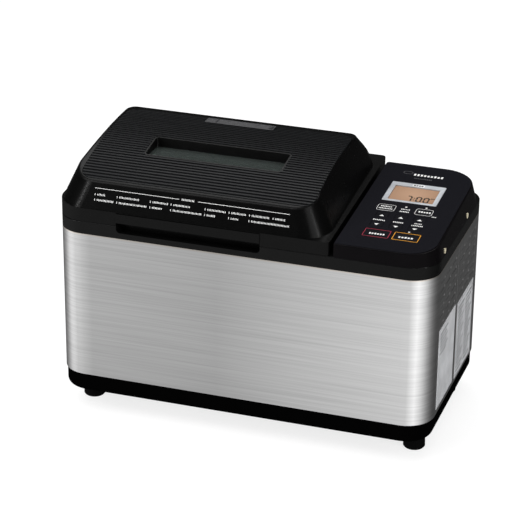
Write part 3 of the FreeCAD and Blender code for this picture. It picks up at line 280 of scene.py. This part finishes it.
def panel_film():
    """Dark blue-black satin film of the key panel."""
    look = Look("panel_film", specular=0.02)
    weave = look.noise(420.0, 5.0)
    look.set(color=look.ramp(weave, (0.3, (0.0045, 0.0045, 0.0065)), (0.7, (0.006, 0.006, 0.0085))))
    look.set(rough=look.spread(weave, 0.40, 0.50))
    look.bump(look.noise(3000.0, 2.0), 0.003)
    return look.material


GLOW_REACH = 34.0


def display_amber():
    """Back-lit amber of the display, a little brighter towards its middle."""
    look = Look("display_amber", rough=0.2, specular=0.15)
    low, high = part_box("lcd_module")
    middle = tuple((low + high) / 2)
    away = look.node("ShaderNodeVectorMath", {"operation": "DISTANCE"}, i0=look.place(), i1=middle)
    glow = look.spread(away.outputs["Value"], 1.0, 0.0)
    glow.node.inputs["From Max"].default_value = GLOW_REACH * MM
    grain = look.noise(2500.0, 2.0)
    amber = look.ramp(glow, (0.0, (0.34, 0.205, 0.13)), (1.0, (0.46, 0.29, 0.19)))
    look.set(color=look.mix(0.12, amber, look.ramp(grain, (0.3, 0.25), (0.7, 0.5)), "MULTIPLY"))
    look.bump(grain, 0.002)
    return look.material


def clear_glass():
    """Window glass with a faint green tint and a few wipe marks."""
    look = Look("window_clear_glass", color=(0.28, 0.33, 0.31), transmission=0.9,
                specular=0.08, ior=1.48)
    look.set(rough=look.spread(look.noise(60.0, 5.0, 0.7), 0.05, 0.12))
    look.bump(look.noise(900.0, 2.0), 0.001)
    return look.material


def circuit_board():
    """Green solder mask with paler tracks."""
    look = Look("circuit_board", rough=0.3)
    tracks = look.node("ShaderNodeTexBrick", {"offset": 0.35}, Vector=look.place(), Scale=95.0)
    tracks.inputs["Mortar Size"].default_value = 0.03
    look.set(color=look.mix(tracks.outputs["Fac"], (0.01, 0.09, 0.035), (0.03, 0.20, 0.08)))
    look.set(rough=look.spread(look.noise(300.0), 0.25, 0.4))
    look.bump(tracks.outputs["Fac"], 0.03)
    return look.material


def printed_film(name, colour, sparkle, specular=0.5):
    """Film of a label or the bezel, metallic or plain, with a soft mottled sheen."""
    look = Look(name, metal=sparkle, specular=specular)
    cloud = look.noise(45.0, 5.0, 0.6)
    darker = tuple(channel * 0.80 for channel in rgb(colour))
    look.set(color=look.ramp(cloud, (0.35, darker), (0.65, colour)))
    look.set(rough=look.spread(cloud, 0.28, 0.45))
    look.bump(look.noise(700.0), 0.004)
    return look.material


def ink(name, colour):
    """Printing ink: slightly broken colour, matt."""
    look = Look(name, specular=0.15)
    speck = look.noise(3200.0, 2.0)
    darker = tuple(channel * 0.82 for channel in rgb(colour))
    look.set(color=look.ramp(speck, (0.35, darker), (0.6, colour)))
    look.set(rough=look.spread(speck, 0.45, 0.6))
    return look.material


LOOKS = {
    "body_black": moulded_black("body_black", 0.0022, 0.20, 0.28, 0.10),
    "base_black": moulded_black("base_black", 0.0008, 0.45, 0.60, 0.0),
    "lid_black": moulded_black("lid_black", 0.0018, 0.22, 0.30, 0.085),
    "housing_black": moulded_black("housing_black", (0.0022, 0.0018, 0.0022), 0.12, 0.18, 0.035),
    "well_black": moulded_black("well_black", 0.0020, 0.35, 0.5),
    "key_black": moulded_black("key_black", (0.0040, 0.0040, 0.0058), 0.38, 0.48, 0.03),
    "rib_black": rib_black(),
    "steel_skin": brushed_steel_skin(),
    "rubber": soft_rubber("foot_rubber", 0.0012, 0.03),
    "belt": soft_rubber("belt_rubber", 0.012),
    "steel": bare_steel("ground_steel"),
    "zinc": bare_steel("zinc_plate", 0.62, 0.25, 0.42),
    "wire": bare_steel("bail_wire", 0.72, 0.10, 0.2),
    "sheet": coated_sheet(),
    "coating": non_stick(),
    "film": panel_film(),
    "amber": display_amber(),
    "glass": clear_glass(),
    "board": circuit_board(),
    "silver": printed_film("bezel_silver", (0.50, 0.52, 0.55), 0.35),
    "label_silver": printed_film("label_silver", (0.80, 0.81, 0.83), 0.40),
    "label_white": printed_film("label_white", (0.020, 0.020, 0.022), 0.0, 0.12),
    "chip_white": printed_film("chip_white", (0.78, 0.78, 0.79), 0.0),
    "cream": tinted_plastic("cream_cap", (0.62, 0.56, 0.40)),
    "natural": tinted_plastic("natural_plastic", (0.72, 0.71, 0.66)),
    "switch_black": tinted_plastic("switch_black", 0.03),
    "lamp": tinted_plastic("lamp_lens", (0.80, 0.79, 0.76), 0.1, 0.2),
    "bronze": bare_steel("bush_bronze", 0.4, 0.3, 0.45),
    "alloy": bare_steel("cast_alloy", 0.55, 0.35, 0.5),
    "plated": oxidised("plated_metal", (0.45, 0.45, 0.44), 0.9),
    "sheath": oxidised("heater_sheath", (0.16, 0.15, 0.14)),
    "iron": oxidised("rotor_iron", (0.25, 0.25, 0.26), 0.8),
    "white_ink": ink("white_ink", (0.80, 0.80, 0.79)),
    "faint_ink": ink("faint_ink", (0.075, 0.075, 0.08)),
    "grey_ink": ink("grey_ink", (0.10, 0.10, 0.105)),
    "pale_ink": ink("pale_ink", (0.16, 0.16, 0.165)),
    "red_ink": ink("red_ink", (0.30, 0.022, 0.045)),
    "orange_ink": ink("orange_ink", (0.72, 0.32, 0.025)),
    "segment_ink": ink("segment_ink", (0.006, 0.005, 0.004)),
}

NODE_LOOKS = {
    "base_black": ("base_tray",),
    "body_black": ("upper_collar",),
    "housing_black": ("control_housing",),
    "lid_black": ("lid_shell",),
    "well_black": ("window_frame",),
    "rib_black": ("lid_rib_panel",),
    "steel_skin": ("front_wrap", "rear_wrap"),
    "rubber": ("rubber_feet", "cord_gland"),
    "belt": ("main_belt", "link_belt"),
    "steel": ("hinge_pins", "left_drive_shaft", "right_drive_shaft", "left_pan_shaft", "right_pan_shaft",
              "temperature_sensor"),
    "zinc": ("body_screws",),
    "wire": ("pan_handle",),
    "sheet": ("oven_chamber", "lid_liner"),
    "coating": ("baking_pan", "left_blade", "right_blade"),
    "film": ("control_overlay",),
    "amber": ("lcd_module",),
    "glass": ("window_glass",),
    "board": ("control_board", "power_board"),
    "silver": ("lcd_bezel",),
    "label_silver": ("side_labels",),
    "label_white": ("lid_label",),
    "cream": ("screw_caps",),
    "natural": ("left_pulley", "right_pulley", "motor_capacitor"),
    "switch_black": ("key_switches",),
    "lamp": ("indicator_lights",),
    "bronze": ("shaft_bearings",),
    "alloy": ("left_drive_coupling", "right_drive_coupling", "motor_pulley", "pan_base_ring"),
    "plated": ("motor_housing", "chassis_plate", "transformer"),
    "sheath": ("main_heater", "lid_heater"),
    "iron": ("motor_rotor",),
    "key_black": tuple(name for name in NODES if name.endswith("_key")),
}


def dress_nodes():
    """Give every CAD node its material."""
    for look, names in NODE_LOOKS.items():
        for name in names:
            mesh = NODES[name].data
            mesh.materials.clear()
            mesh.materials.append(LOOKS[look])


# ---------------------------------------------------------------- flat print

SUNK = -0.02    # how far a mark's underside lies below the surface that it is printed on


class Print:
    """Thin raised marks laid out in a plane, gathered into one mesh."""

    def __init__(self, name, look, body, surface, slot, thick=0.06):
        self.name, self.look, self.body, self.slot = name, look, body, slot
        self.surface, self.thick = surface, thick
        self.mesh = bmesh.new()

    def polygon(self, points):
        """Solid mark over a convex outline of (x, y) points, listed anticlockwise."""
        below = [self.mesh.verts.new(self.surface(x, y, SUNK)) for x, y in points]
        above = [self.mesh.verts.new(self.surface(x, y, self.thick)) for x, y in points]
        self.mesh.faces.new(below[::-1])
        self.mesh.faces.new(above)
        count = len(points)
        for index in range(count):
            ahead = (index + 1) % count
            self.mesh.faces.new((below[index], below[ahead], above[ahead], above[index]))

    def bar(self, x, y, width, height):
        """Bar centred at (x, y)."""
        wide, tall = width / 2, height / 2
        self.polygon([(x - wide, y - tall), (x + wide, y - tall),
                      (x + wide, y + tall), (x - wide, y + tall)])

    def ring(self, x, y, width, height, corner, line):
        """Rounded rectangular outline of an even line width."""
        outer = rounded_points(x, y, width, height, corner)
        inner = rounded_points(x, y, width - 2 * line, height - 2 * line, max(corner - line, 0.1))
        count = len(outer)
        levels = ((outer, SUNK), (outer, self.thick), (inner, self.thick), (inner, SUNK))
        layers = [[self.mesh.verts.new(self.surface(px, py, lift)) for px, py in points]
                  for points, lift in levels]
        for index in range(count):
            ahead = (index + 1) % count
            for near, far in zip(layers, layers[1:] + layers[:1]):
                self.mesh.faces.new((near[index], near[ahead], far[ahead], far[index]))

    def word(self, x_from, x_to, y, height, letter, gap, seed):
        """Abstract blocks that fill the room of a printed word, without being letters."""
        pick = random.Random(seed)
        count = max(1, round((x_to - x_from + gap) / (letter + gap)))
        step = (x_to - x_from + gap) / count
        for index in range(count):
            tall = height * pick.choice((1.0, 1.0, 0.82, 0.9))
            self.bar(x_from + step * index + (step - gap) / 2, y - (height - tall) / 2, step - gap, tall)

    def finish(self):
        """Turn the marks into an object that rides on its body."""
        bmesh.ops.recalc_face_normals(self.mesh, faces=self.mesh.faces)
        data = bpy.data.meshes.new(self.name)
        self.mesh.to_mesh(data)
        self.mesh.free()
        data.materials.append(LOOKS[self.look])
        piece = bpy.data.objects.new(self.name, data)
        bpy.context.scene.collection.objects.link(piece)
        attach(piece, self.body)


def rounded_points(x, y, width, height, corner, steps=6):
    """Outline of a rounded rectangle, anticlockwise."""
    points = []
    for quarter, (sx, sy) in enumerate(((1, 1), (-1, 1), (-1, -1), (1, -1))):
        cx, cy = x + sx * (width / 2 - corner), y + sy * (height / 2 - corner)
        for step in range(steps + 1):
            angle = math.radians(90 * (quarter + step / steps))
            points.append((cx + corner * math.cos(angle), cy + corner * math.sin(angle)))
    return points


DECK_SLOPE = math.radians(3.7)
DECK_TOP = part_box("control_overlay")[1]
DECK = Matrix.Translation((0, DECK_TOP.y, DECK_TOP.z)) @ Matrix.Rotation(DECK_SLOPE, 4, "X")


def deck_surface(x, y, lift):
    """Point on the key panel: x is the machine's X and y runs back from the film's back edge."""
    return DECK @ Vector((x * MM, y * MM, lift * MM))


def deck_middle(node):
    """Middle of a node's box in the key panel's plane, in millimetres."""
    low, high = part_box(node)
    local = DECK.inverted() @ ((low + high) / 2)
    return local.x / MM, local.y / MM


def arrow(mark, x, y, up):
    """Solid triangle that points back (up) or forward (down)."""
    side = 1 if up else -1
    outline = [(x - 2.9, y - side * 1.7), (x + 2.9, y - side * 1.7), (x, y + side * 2.1)]
    mark.polygon(outline if up else outline[::-1])


# Words on the key caps: left and right end and middle from the key's middle, then the letters'
# height, width and gap, and the seed of their uneven tops.
KEY_WORDS = {
    "crust_key": ((-7.0, 5.8, 3.0, 2.7, 1.1, 0.75, 1), (-8.2, 7.6, -2.4, 2.7, 1.1, 0.75, 2)),
    "timer_key": ((-6.5, 7.7, 0.3, 3.6, 1.8, 1.1, 3),),
    "cancel_key": ((-8.4, 9.4, -1.5, 3.6, 1.9, 1.2, 4),),
    "start_key": ((-8.6, 8.0, -1.6, 3.6, 2.0, 1.3, 5),),
}
# Printed outlines: width, height, corner radius and line.
KEY_RINGS = {"crust_key": (21.2, 15.9, 3.2, 0.5), "timer_key": (20.2, 15.9, 3.2, 0.5)}
COLOURED_RING = (30.2, 18.8, 1.4, 0.75)
COLOURED_KEYS = {"cancel_key": "red_ink", "start_key": "orange_ink"}
ARROW_DROP = 1.6


def words(mark, x, y, rows):
    """Print rows of words round the point (x, y)."""
    for left, right, up, *letters in rows:
        mark.word(x + left, x + right, y + up, *letters)


def print_keys():
    """Legends on the key caps; each rides on its own key."""
    for name in NODE_LOOKS["key_black"]:
        x, y = deck_middle(name)
        body = name
        mark = Print(name + "_print", "white_ink", body, deck_surface, "key_cap")
        if name in KEY_WORDS:
            if name in KEY_RINGS:
                mark.ring(x, y, *KEY_RINGS[name])
            words(mark, x, y, KEY_WORDS[name])
        else:
            arrow(mark, x, y - ARROW_DROP, "_up_" in name)
        mark.finish()
        if name in COLOURED_KEYS:
            outline = Print(name + "_outline", COLOURED_KEYS[name], body, deck_surface, "key_cap")
            outline.ring(x, y, *COLOURED_RING)
            outline.finish()


# Words on the film, laid out as those on the keys: between each pair of arrows, between the crust
# and timer keys, below the timer key, and the maker's mark with its ring and small line.
BETWEEN_ARROWS = {
    "course": ((-6.8, 6.8, -2.0, 3.0, 1.2, 0.9, 10),),
    "cycle": ((-5.8, 5.8, -2.0, 3.0, 1.2, 0.9, 11),),
    "time": ((-3.6, 4.6, 0.8, 2.5, 1.1, 0.8, 12), (-6.0, 7.2, -4.4, 2.5, 1.1, 0.8, 13)),
}
BETWEEN_TOP_KEYS = ((-4.8, 5.2, 1.2, 2.6, 1.0, 0.8, 14), (-5.0, 5.6, -5.0, 2.6, 1.0, 0.8, 15))
BELOW_TIMER = ((11.3, 16.5, -8.7, 2.0, 1.0, 0.7, 16),)
MARK_WORD = (152.0, 187.2, -26.0, 5.0, 2.6, 1.7, 19)
MARK_RING = (144.0, -22.5, 11.5, 7.0, 3.0, 0.6)
MARK_LINE = (154.7, 175.7, -35.6, 2.2, 1.2, 0.9, 21)
# The chip on the display's bezel and the word on it, from the bezel's back edge.
CHIP_IN, CHIP_SIZE, CHIP_CORNER, CHIP_LIFT = 4.7, (14.5, 5.6), 1.0, 0.75
CHIP_WORD, CHIP_WORD_LIFT = ((-5.6, 5.6, -4.8, 3.2, 1.9, 0.9, 17),), 0.82


def print_panel():
    """Legends on the film between the keys, and the caption chip on the display's bezel."""
    mark = Print("panel_print", "white_ink", "housing", deck_surface, "panel_film")
    for name, rows in BETWEEN_ARROWS.items():
        above, below = deck_middle(f"{name}_up_key"), deck_middle(f"{name}_down_key")
        words(mark, (above[0] + below[0]) / 2, (above[1] + below[1]) / 2, rows)
    crust, timer = deck_middle("crust_key"), deck_middle("timer_key")
    words(mark, (crust[0] + timer[0]) / 2, crust[1], BETWEEN_TOP_KEYS)
    words(mark, *timer, BELOW_TIMER)
    mark.word(*MARK_WORD)
    mark.finish()
    faint = Print("panel_faint_print", "faint_ink", "housing", deck_surface, "panel_film")
    faint.ring(*MARK_RING)
    faint.word(*MARK_LINE)
    faint.finish()
    low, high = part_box("lcd_bezel")
    x, back = (low.x + high.x) / 2 / MM, (DECK.inverted() @ high).y / MM
    chip = Print("bezel_chip", "chip_white", "housing", deck_surface, "bezel_silver", CHIP_LIFT)
    chip.polygon(rounded_points(x, back - CHIP_IN, *CHIP_SIZE, CHIP_CORNER))
    chip.finish()
    legend = Print("bezel_legend", "segment_ink", "housing", deck_surface, "bezel_silver",
                   CHIP_WORD_LIFT)
    words(legend, x, back, CHIP_WORD)
    legend.finish()


SEGMENTS = {"7": "abc", "0": "abcdef"}
# The time's digits, each with the distance of its middle from the row's right end.
TIME = (("7", 22.6), ("0", 11.0), ("0", 2.2))
COLON_IN, COLON_DOT = 16.7, 1.6
DIGIT_WIDE, DIGIT_TALL, DIGIT_LINE = 5.2, 12.4, 1.9
# The row's place from the bezel's front edge and right side, and the display's depth below the film.
TIME_UP, TIME_IN, DISPLAY_DROP = 7.0, 13.0, 0.58


def print_digits():
    """Seven-segment time on the display, with a small mark after it."""
    low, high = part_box("lcd_bezel")
    front = (DECK.inverted() @ low).y / MM
    mark = Print("display_digits", "segment_ink", "housing",
                 lambda x, y, lift: deck_surface(x, y, lift - DISPLAY_DROP), "lcd", 0.06)
    wide, tall, line = DIGIT_WIDE, DIGIT_TALL, DIGIT_LINE
    base, right = front + TIME_UP, high.x / MM - TIME_IN
    half = wide / 2
    places = {"a": (0, tall, True), "b": (half, tall * 0.75, False), "c": (half, tall * 0.25, False),
              "d": (0, 0, True), "e": (-half, tall * 0.25, False), "f": (-half, tall * 0.75, False)}
    for digit, inset in TIME:
        for name in SEGMENTS[digit]:
            dx, dy, level = places[name]
            size = (wide - line * 0.6, line) if level else (line, tall / 2 - line * 0.6)
            mark.bar(right - inset + dx, base + dy, *size)
    for dy in (tall * 0.3, tall * 0.7):
        mark.bar(right - COLON_IN, base + dy, COLON_DOT, COLON_DOT)
    mark.word(right + 2.4, right + 6.8, base + tall - 0.6, 2.4, 1.2, 0.5, 18)
    mark.finish()


DOME_LEAN = math.radians(18.5)
DOME_FOOT_Y, DOME_FOOT_Z = -133.3, 264.5


def dome_surface(x, up, lift):
    """Point on the dome's flat front: up is the distance along the slope from the lid's rim."""
    y = DOME_FOOT_Y + up * math.sin(DOME_LEAN) - lift * math.cos(DOME_LEAN)
    z = DOME_FOOT_Z + up * math.cos(DOME_LEAN) + lift * math.sin(DOME_LEAN)
    return Vector((x * MM, y * MM, z * MM))


# Room of each entry of the course list: left end, and right end in the first and second row.
COURSE_ROOM = ((-178.3, -165.5, -154.5), (-151, -123.5, -113.8), (-110.2, -88, -94.8),
               (-84.8, -61.3, -47), (-43.6, -18.2, -30.4), (-14.8, 6, -2.6), (9.6, 33.6, 57.8),
               (37.6, 52.5, None))
COURSE_ROW, COURSE_STEP = 19.8, 6.4
# The heading's rule in two parts, as middle and length, with a word between them.
RULE_UP, RULE_LINE, RULES = 27.1, 0.5, ((-126.7, 103.2), (2.6, 109.6))
HEADING = (-71.8, -57.0, 27.2, 2.2, 0.9, 0.9, 20)


def print_course_list():
    """Rule and two rows of abstract entries on the dome's front."""
    mark = Print("course_print", "white_ink", "lid", dome_surface, "black_plastic", 0.08)
    for middle, length in RULES:
        mark.bar(middle, RULE_UP, length, RULE_LINE)
    mark.word(*HEADING)
    for seed, (left, *ends) in enumerate(COURSE_ROOM):
        for row, right in enumerate(ends):
            if right is None:
                continue
            y = COURSE_ROW - COURSE_STEP * row
            mark.bar(left + 0.8, y, 0.7, 2.3)
            mark.word(left + 3.6, right, y, 2.2, 0.8, 0.9, 30 + 2 * seed + row)
    mark.finish()


# The lid's crown: the arc's middle, and its radius at the label's face.
CROWN_Y, CROWN_Z, CROWN_RADIUS = 30.2, -111.6, 437.38


def crown_surface(x, y, lift):
    """Point on the face of the label on the lid's crown."""
    z = CROWN_Z + math.sqrt((CROWN_RADIUS + lift) ** 2 - (y - CROWN_Y) ** 2)
    return Vector((x * MM, y * MM, z * MM))


def print_labels():
    """Rows of abstract print on the lid's label and on the two plates at the right side."""
    low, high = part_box("lid_label")
    mark = Print("lid_label_print", "pale_ink", "lid", crown_surface, "caution_film", 0.04)
    left, right, front, back = low.x / MM, high.x / MM, low.y / MM, high.y / MM
    mark.ring((left + right) / 2, (front + back) / 2, right - left - 1.2, back - front - 1.2,
              1.0, 0.35)
    for row in range(5):
        y = back - 2.9 - row * 2.55
        mark.word(left + 2.0, left + 13.0, y, 1.3, 1.1, 0.4, 50 + row)
        mark.word(left + 15.5, right - 3.0 - 5.0 * (row % 2), y, 1.3, 1.1, 0.4, 60 + row)
    mark.finish()
    low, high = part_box("side_labels")
    face = high.x / MM

    def side_surface(y, z, lift):
        return Vector(((face + lift) * MM, y * MM, z * MM))

    rows = Print("side_label_print", "grey_ink", "housing", side_surface, "label_film", 0.05)
    rows.ring(33.0, 104.5, 74.0, 95.0, 2.0, 0.5)
    for row in range(17):
        z = 145.0 - 5.2 * row
        rows.word(0.0, 30.0 - 6.0 * (row % 3), z, 2.2, 1.6, 0.7, 80 + row)
        rows.word(36.0, 66.0 - 4.0 * (row % 4), z, 2.2, 1.6, 0.7, 100 + row)
    for row in range(6):
        rows.word(-88.0, -52.0 - 7.0 * (row % 2), 150.0 - 5.0 * row, 1.8, 1.5, 0.7, 120 + row)
    rows.finish()


# ---------------------------------------------------------------- stage, light and camera

FLOOR_SIZE = 90.0


def make_stage():
    """Pale floor under and far around the machine."""
    look = Look("pale_floor", emission=1.0, emission_strength=0.8, specular=0.1)
    cloud = look.noise(1.2, 3.0)
    look.set(color=look.ramp(cloud, (0.3, 0.25), (0.7, 0.27)))
    look.set(rough=look.spread(look.noise(40.0), 0.6, 0.75))
    bpy.ops.mesh.primitive_plane_add(size=FLOOR_SIZE, location=(0, 0, 0))
    floor = bpy.context.object
    floor.name = "floor"
    floor.data.materials.append(look.material)
    floor.visible_glossy = False


# Each soft box: name, place, target, width and height in metres, and watts.
SOFT_BOXES = (
    ("key", (-1.6, -1.5, 2.6), (0, 0, 0.1), (2.2, 2.2), 60),
    ("fill", (2.4, -1.6, 1.8), (0, 0, 0.15), (1.6, 2.0), 26),
    ("over", (0.0, 1.3, 2.4), (0, 0.0, 0.2), (2.6, 1.0), 34),
    ("left_strip", (-1.3, -1.5, 0.55), (0, 0, 0.15), (0.07, 1.1), 12),
    ("right_strip", (1.75, -0.75, 0.55), (0, 0, 0.15), (0.07, 1.1), 9),
)
WORLD_STRENGTH = 1.15


def soft_box(name, place, target, size, power):
    """Rectangular studio light aimed at a point."""
    light = bpy.data.lights.new(name, "AREA")
    light.shape = "RECTANGLE"
    light.size, light.size_y = size
    light.energy = power
    lamp = bpy.data.objects.new(name, light)
    lamp.location = place
    lamp.rotation_euler = (Vector(target) - Vector(place)).to_track_quat("-Z", "Y").to_euler()
    bpy.context.scene.collection.objects.link(lamp)


def make_light():
    """Soft studio light: a bright ceiling, a dark horizon, a pale sweep in front, and soft boxes."""
    world = bpy.data.worlds.new("studio")
    bpy.context.scene.world = world
    world.use_nodes = True
    tree = world.node_tree
    coordinates = tree.nodes.new("ShaderNodeTexCoord")
    split = tree.nodes.new("ShaderNodeSeparateXYZ")
    tree.links.new(coordinates.outputs["Generated"], split.inputs[0])

    def graded(axis, *stops):
        """Grey that changes along one axis of the direction, through (place, grey) stops."""
        ramp = tree.nodes.new("ShaderNodeValToRGB")
        half = tree.nodes.new("ShaderNodeMapRange")
        half.inputs["From Min"].default_value = -1.0
        tree.links.new(split.outputs[axis], half.inputs["Value"])
        tree.links.new(half.outputs["Result"], ramp.inputs["Fac"])
        elements = ramp.color_ramp.elements
        while len(elements) < len(stops):
            elements.new(0.5)
        for element, (place, grey) in zip(elements, stops):
            element.position = (place + 1) / 2
            element.color = (grey, grey, grey, 1.0)
        return ramp.outputs["Color"]

    ceiling = graded("Z", (0.0, 0.02), (0.25, 0.03), (0.45, 0.06), (0.80, 0.50), (1.0, 0.7))
    sweep = graded("Y", (-0.75, 1.0), (-0.45, 0.90), (0.10, 0.30), (0.55, 0.05))
    below = graded("Z", (-0.16, 1.0), (-0.03, 0.0))
    mix = tree.nodes.new("ShaderNodeMix")
    mix.data_type = "RGBA"
    tree.links.new(below, mix.inputs[0])
    tree.links.new(ceiling, mix.inputs[6])
    tree.links.new(sweep, mix.inputs[7])
    tree.links.new(mix.outputs[2], tree.nodes["Background"].inputs["Color"])
    tree.nodes["Background"].inputs["Strength"].default_value = WORLD_STRENGTH
    for name, place, target, size, power in SOFT_BOXES:
        soft_box(name, place, target, size, power)


CAMERA_PLACE = (0.7303, -2.2853, 1.2477)
CAMERA_TURN = 17.96
CAMERA_DIP = 24.29
CAMERA_ROLL = 0.68
CAMERA_LENS = 148.0


def make_camera():
    """Camera at the chosen three-quarter view, looking down from the front right."""
    data = bpy.data.cameras.new("camera")
    data.lens = CAMERA_LENS
    data.sensor_width = 36.0
    data.clip_end = 50.0
    camera = bpy.data.objects.new("camera", data)
    camera.location = CAMERA_PLACE
    aim = Euler((math.radians(90 - CAMERA_DIP), 0, math.radians(CAMERA_TURN))).to_matrix()
    camera.rotation_euler = (aim @ Matrix.Rotation(math.radians(CAMERA_ROLL), 3, "Z")).to_euler()
    bpy.context.scene.collection.objects.link(camera)
    bpy.context.scene.camera = camera


bpy.context.scene.view_settings.view_transform = "Standard"
dress_nodes()
print_keys()
print_panel()
print_digits()
print_course_list()
print_labels()
make_stage()
make_light()
make_camera()
